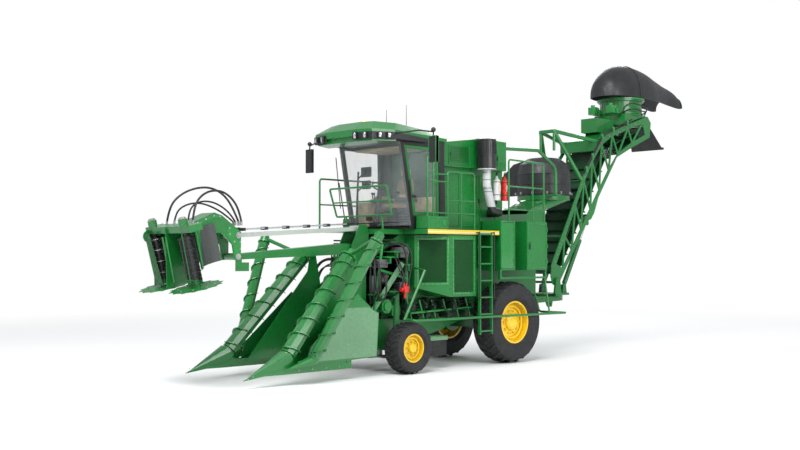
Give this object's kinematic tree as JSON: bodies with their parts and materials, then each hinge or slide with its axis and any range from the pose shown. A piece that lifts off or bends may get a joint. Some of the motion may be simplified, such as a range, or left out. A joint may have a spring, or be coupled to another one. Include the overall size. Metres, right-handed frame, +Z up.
{
  "type": "sugarcane harvester",
  "caption": "Wheeled chopper harvester for sugarcane: topper on an arm, spiral crop dividers, base cutters, glazed cab, extractor dome and a slewing elevator.",
  "frame": {"origin": "On the ground under the middle of the rear axle, which is also the middle of the machine's length and width", "axes": "+X forward towards the dividers and topper, +Y to the driver's left, +Z up"},
  "size_m": [15.4918, 3.69, 6.9449],
  "materials": {
    "green_paint": "satin",
    "yellow_paint": "satin",
    "black_paint": "satin",
    "grey_paint": "satin",
    "dark_steel": "satin",
    "rod_chrome": "polished",
    "tyre": "matte",
    "hose_rubber": "matte",
    "belt_rubber": "matte",
    "dome_plastic": "matte",
    "black_plastic": "matte",
    "tan_trim": "matte",
    "pale_steel": "satin",
    "red_paint": "gloss",
    "window_glass": "gloss"
  },
  "bodies": {
    "machine": {"chassis_frame": "green_paint", "front_axle": "green_paint", "rear_axle": "green_paint", "engine_block": "grey_paint", "engine_hood": "green_paint", "cab_deck": "green_paint", "cooling_box": "green_paint", "cab_shell": "black_paint", "cab_roof": "green_paint", "cab_glass": "window_glass", "operator_station": "tan_trim", "guard_rails": "green_paint", "access_ladder": "green_paint", "side_guards": "green_paint", "rear_cabinets": "green_paint", "right_tanks": "green_paint", "air_intake": "black_plastic", "fire_extinguishers": "red_paint", "mirrors": "black_plastic", "extractor_base": "green_paint"},
    "steering_left": {"left_knuckle": "green_paint"},
    "steering_right": {"right_knuckle": "green_paint"},
    "front_left_wheel": {"front_left_tyre": "tyre", "front_left_rim": "yellow_paint"},
    "front_right_wheel": {"front_right_tyre": "tyre", "front_right_rim": "yellow_paint"},
    "rear_left_wheel": {"rear_left_tyre": "tyre", "rear_left_rim": "yellow_paint"},
    "rear_right_wheel": {"rear_right_tyre": "tyre", "rear_right_rim": "yellow_paint"},
    "left_divider": {"divider_left": "green_paint"},
    "right_divider": {"divider_right": "green_paint"},
    "left_inner_scroll": {"inner_scroll_left": "green_paint"},
    "left_outer_scroll": {"outer_scroll_left": "green_paint"},
    "right_inner_scroll": {"inner_scroll_right": "green_paint"},
    "right_outer_scroll": {"outer_scroll_right": "green_paint"},
    "lower_arm": {"topper_lower_arm": "green_paint"},
    "upper_arm": {"topper_upper_arm": "pale_steel"},
    "topper": {"topper_head": "green_paint", "topper_deflectors": "green_paint", "topper_hose_1": "hose_rubber", "topper_hose_2": "hose_rubber"},
    "left_topper_rotor": {"topper_rotor_left": "dark_steel"},
    "right_topper_rotor": {"topper_rotor_right": "dark_steel"},
    "roller": {"knockdown_roller": "dark_steel"},
    "left_cutter": {"base_cutter_left": "dark_steel"},
    "right_cutter": {"base_cutter_right": "dark_steel"},
    "fan": {"extractor_fan": "dark_steel"},
    "extractor_top": {"extractor_hood": "dome_plastic"},
    "slew_table": {"elevator_table": "green_paint"},
    "elevator": {"elevator_frame": "green_paint", "elevator_conveyor": "belt_rubber", "secondary_extractor": "green_paint"},
    "lift_barrels": {"lift_cylinder_barrels": "green_paint"},
    "lift_rods": {"lift_cylinder_rods": "rod_chrome"},
    "flap": {"bin_flap": "belt_rubber"},
    "elevator_top": {"secondary_hood": "dome_plastic"},
    "door": {"left_door": "green_paint", "left_door_glass": "window_glass"},
    "rear_door": {"cabinet_door": "green_paint"}
  },
  "joints": [
    {"name": "steer_left", "type": "hinge", "parent": "machine", "child": "steering_left", "pos_m": [2.97, 0.69, 0.478], "axis": [0, 0, 1], "range_deg": [-30, 30]},
    {"name": "steer_right", "type": "hinge", "parent": "machine", "child": "steering_right", "pos_m": [2.97, -0.69, 0.478], "axis": [0, 0, 1], "range_deg": [-30, 30]},
    {"name": "front_left_wheel_spin", "type": "hinge", "parent": "steering_left", "child": "front_left_wheel", "pos_m": [2.97, 1.011, 0.478], "axis": [0, 1, 0], "continuous": true},
    {"name": "front_right_wheel_spin", "type": "hinge", "parent": "steering_right", "child": "front_right_wheel", "pos_m": [2.97, -1.011, 0.478], "axis": [0, 1, 0], "continuous": true},
    {"name": "rear_left_wheel_spin", "type": "hinge", "parent": "machine", "child": "rear_left_wheel", "pos_m": [0, 0.91, 0.83], "axis": [0, 1, 0], "continuous": true},
    {"name": "rear_right_wheel_spin", "type": "hinge", "parent": "machine", "child": "rear_right_wheel", "pos_m": [0, -0.91, 0.83], "axis": [0, 1, 0], "continuous": true},
    {"name": "left_divider_lift", "type": "hinge", "parent": "machine", "child": "left_divider", "pos_m": [3.72, 0.7, 1.1], "axis": [0, -1, 0], "range_deg": [0, 16]},
    {"name": "left_inner_scroll_spin", "type": "hinge", "parent": "left_divider", "child": "left_inner_scroll", "pos_m": [5.69, 0.84, 0.5], "axis": [-0.6797, -0.0883, 0.7282], "continuous": true},
    {"name": "left_outer_scroll_spin", "type": "hinge", "parent": "left_divider", "child": "left_outer_scroll", "pos_m": [5.29, 1.1, 0.475], "axis": [-0.4259, 0.2242, 0.8765], "continuous": true},
    {"name": "right_divider_lift", "type": "hinge", "parent": "machine", "child": "right_divider", "pos_m": [3.72, -0.7, 1.1], "axis": [0, -1, 0], "range_deg": [0, 16]},
    {"name": "right_inner_scroll_spin", "type": "hinge", "parent": "right_divider", "child": "right_inner_scroll", "pos_m": [5.69, -0.84, 0.5], "axis": [-0.6797, 0.0883, 0.7282], "continuous": true},
    {"name": "right_outer_scroll_spin", "type": "hinge", "parent": "right_divider", "child": "right_outer_scroll", "pos_m": [5.29, -1.1, 0.475], "axis": [-0.4259, -0.2242, 0.8765], "continuous": true},
    {"name": "topper_lift", "type": "hinge", "parent": "machine", "child": "lower_arm", "pos_m": [3.35, 0, 2.34], "axis": [0, -1, 0], "range_deg": [-12, 40]},
    {"name": "topper_link", "type": "hinge", "parent": "machine", "child": "upper_arm", "pos_m": [3.35, 0, 2.7], "axis": [0, -1, 0], "range_deg": [-12, 40]},
    {"name": "topper_level", "type": "hinge", "parent": "lower_arm", "child": "topper", "pos_m": [6.24, 0, 2.17], "axis": [0, -1, 0], "range_deg": [-40, 12]},
    {"name": "left_topper_spin", "type": "hinge", "parent": "topper", "child": "left_topper_rotor", "pos_m": [7.25, 0.455, 1.68], "axis": [0.2419, 0, 0.9703], "continuous": true},
    {"name": "right_topper_spin", "type": "hinge", "parent": "topper", "child": "right_topper_rotor", "pos_m": [7.25, -0.455, 1.68], "axis": [0.2419, 0, 0.9703], "continuous": true},
    {"name": "roller_spin", "type": "hinge", "parent": "machine", "child": "roller", "pos_m": [3.72, 0, 1.56], "axis": [0, 1, 0], "continuous": true},
    {"name": "left_cutter_spin", "type": "hinge", "parent": "machine", "child": "left_cutter", "pos_m": [3.05, 0.3, 0.29], "axis": [0, 0, 1], "continuous": true},
    {"name": "right_cutter_spin", "type": "hinge", "parent": "machine", "child": "right_cutter", "pos_m": [3.05, -0.3, 0.29], "axis": [0, 0, 1], "continuous": true},
    {"name": "fan_spin", "type": "hinge", "parent": "machine", "child": "fan", "pos_m": [-2.42, 0, 3.475], "axis": [0, 0, 1], "continuous": true},
    {"name": "extractor_turn", "type": "hinge", "parent": "machine", "child": "extractor_top", "pos_m": [-2.42, 0, 3.555], "axis": [0, 0, 1], "range_deg": [-75, 75]},
    {"name": "elevator_slew", "type": "hinge", "parent": "machine", "child": "slew_table", "pos_m": [-2.42, 0, 1.3], "axis": [0, 0, 1], "range_deg": [-75, 75]},
    {"name": "elevator_lift", "type": "hinge", "parent": "slew_table", "child": "elevator", "pos_m": [-2.22, 0, 1.61], "axis": [0, 1, 0], "range_deg": [-35, 0]},
    {"name": "lift_barrel_tilt", "type": "hinge", "parent": "slew_table", "child": "lift_barrels", "pos_m": [-2.74, 0, 1.49], "axis": [0, 1, 0], "range_deg": [-43, 0]},
    {"name": "lift_rod_slide", "type": "slide", "parent": "lift_barrels", "child": "lift_rods", "axis": [-0.5136, 0, 0.858], "range_m": [-0.255, 0]},
    {"name": "bin_flap_swing", "type": "hinge", "parent": "elevator", "child": "flap", "pos_m": [-6.15, 0, 5.43], "axis": [0, 1, 0], "range_deg": [-40, 15]},
    {"name": "elevator_hood_turn", "type": "hinge", "parent": "elevator", "child": "elevator_top", "pos_m": [-5.56, 0, 6.09], "axis": [0, 0, 1], "range_deg": [-60, 60]},
    {"name": "left_door_hinge", "type": "hinge", "parent": "machine", "child": "door", "pos_m": [1.965, 0.866, 3.62], "axis": [0, 0, 1], "range_deg": [0, 15]},
    {"name": "cabinet_door_hinge", "type": "hinge", "parent": "machine", "child": "rear_door", "pos_m": [-0.96, 1.222, 2.395], "axis": [0, 0, 1], "range_deg": [0, 110]}
  ],
  "couplings": [
    {"joint": "steer_right", "follows": "steer_left", "ratio": 1},
    {"joint": "topper_link", "follows": "topper_lift", "ratio": 1},
    {"joint": "topper_level", "follows": "topper_lift", "ratio": -1},
    {"joint": "extractor_turn", "follows": "elevator_slew", "ratio": 1},
    {"joint": "lift_barrel_tilt", "follows": "elevator_lift", "ratio": 1.21},
    {"joint": "lift_rod_slide", "follows": "elevator_lift", "m_per_rad": 0.408}
  ]
}
